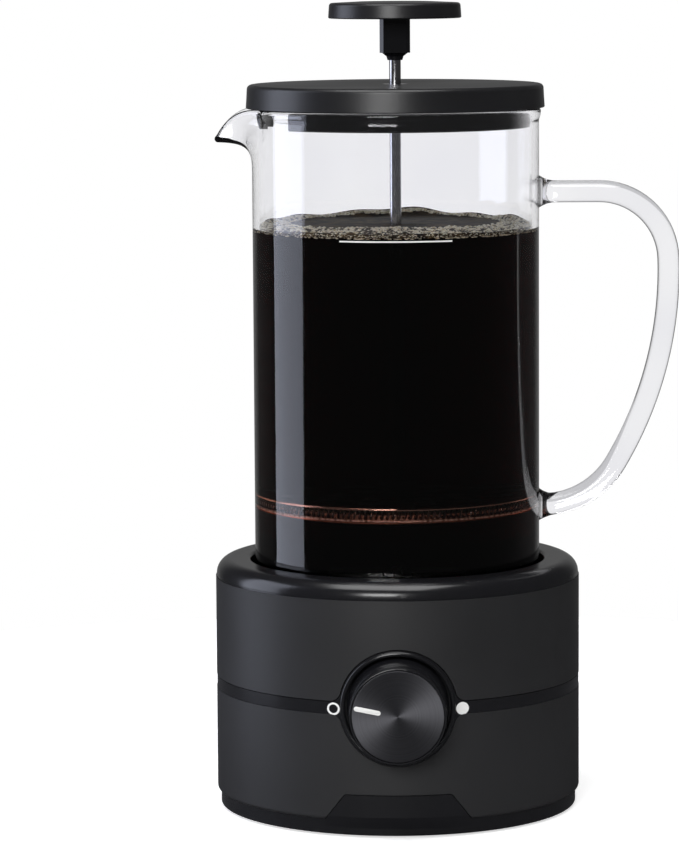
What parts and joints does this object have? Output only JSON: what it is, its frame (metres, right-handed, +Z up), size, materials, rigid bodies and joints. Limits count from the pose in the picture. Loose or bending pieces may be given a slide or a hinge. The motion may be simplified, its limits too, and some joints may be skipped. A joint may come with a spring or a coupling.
{
  "type": "cold brew coffee maker",
  "caption": "Glass press carafe with lid, plunger and filter, standing in a round motor base with a front dial and a magnetic stirrer.",
  "frame": {"origin": "centre of the foot ring, on the surface that the base stands on", "axes": "+Z up along the base's axis, -Y out of the dial, -X towards the spout, +X towards the handle"},
  "size_m": [0.1696, 0.1485, 0.2938],
  "materials": {
    "foot_rubber": "soft matte, moulded",
    "housing_black": "fine texture, matte black",
    "gloss_black": "polished black",
    "lid_black": "soft satin black",
    "spun_metal": "spun face, dark anodised",
    "polished_steel": "polished stainless steel",
    "brushed_steel": "stainless steel, brushed",
    "woven_mesh": "fine woven stainless mesh",
    "screw_steel": "zinc plated steel",
    "motor_can": "plated drawn steel",
    "magnet_plate": "nickel plated magnets",
    "carrier_plastic": "natural moulded plastic",
    "circuit_board": "green solder mask",
    "component_black": "moulded component cases",
    "clear_glass": "clear borosilicate glass",
    "cushion_silicone": "matte silicone",
    "stirrer_white": "white food-grade plastic"
  },
  "bodies": {
    "base": {"foot_ring": "foot_rubber", "bottom_cover": "housing_black", "cover_screws": "screw_steel", "lower_housing": "housing_black", "trim_band": "gloss_black", "upper_housing": "housing_black", "top_cover": "gloss_black", "well_cushion": "cushion_silicone", "cord_gland": "foot_rubber", "motor_bracket": "brushed_steel", "motor": "motor_can", "motor_screws": "screw_steel", "bracket_screws": "screw_steel", "control_board": "circuit_board", "board_parts": "component_black", "board_screws": "screw_steel", "speed_control": "component_black", "control_nut": "screw_steel"},
    "drive": {"motor_shaft": "polished_steel", "magnet_carrier": "carrier_plastic", "drive_magnets": "magnet_plate"},
    "dial": {"dial_shaft": "brushed_steel", "dial_knob": "gloss_black", "dial_face": "spun_metal"},
    "carafe": {"carafe_glass": "clear_glass", "carafe_handle": "clear_glass"},
    "stirrer": {"stirrer_rotor": "stirrer_white", "stirrer_magnets": "magnet_plate"},
    "lid": {"lid_cap": "lid_black", "lid_insert": "gloss_black", "rod_bushing": "polished_steel"},
    "plunger": {"plunger_rod": "polished_steel", "knob_stem": "gloss_black", "plunger_knob": "lid_black", "rod_collar": "polished_steel", "spiral_plate": "polished_steel", "filter_spring": "polished_steel", "filter_mesh": "woven_mesh", "cross_plate": "polished_steel", "filter_hub": "polished_steel"}
  },
  "joints": [
    {"name": "dial_turn", "type": "hinge", "parent": "base", "child": "dial", "pos_m": [0, 0, 0.0468], "axis": [0, 1, 0], "range_deg": [0, 157]},
    {"name": "motor_spin", "type": "hinge", "parent": "base", "child": "drive", "pos_m": [0, 0, 0.05], "axis": [0, 0, 1], "continuous": true},
    {"name": "carafe_lift", "type": "slide", "parent": "base", "child": "carafe", "axis": [0, 0, 1], "range_m": [0, 0.08]},
    {"name": "stirrer_spin", "type": "hinge", "parent": "carafe", "child": "stirrer", "pos_m": [0, 0, 0.08], "axis": [0, 0, 1], "continuous": true},
    {"name": "lid_lift", "type": "slide", "parent": "carafe", "child": "lid", "axis": [0, 0, 1], "range_m": [0, 0.18]},
    {"name": "plunger_slide", "type": "slide", "parent": "lid", "child": "plunger", "axis": [0, 0, 1], "range_m": [-0.0083, 0.128]}
  ],
  "couplings": [
    {"joint": "stirrer_spin", "follows": "motor_spin", "ratio": 1}
  ]
}
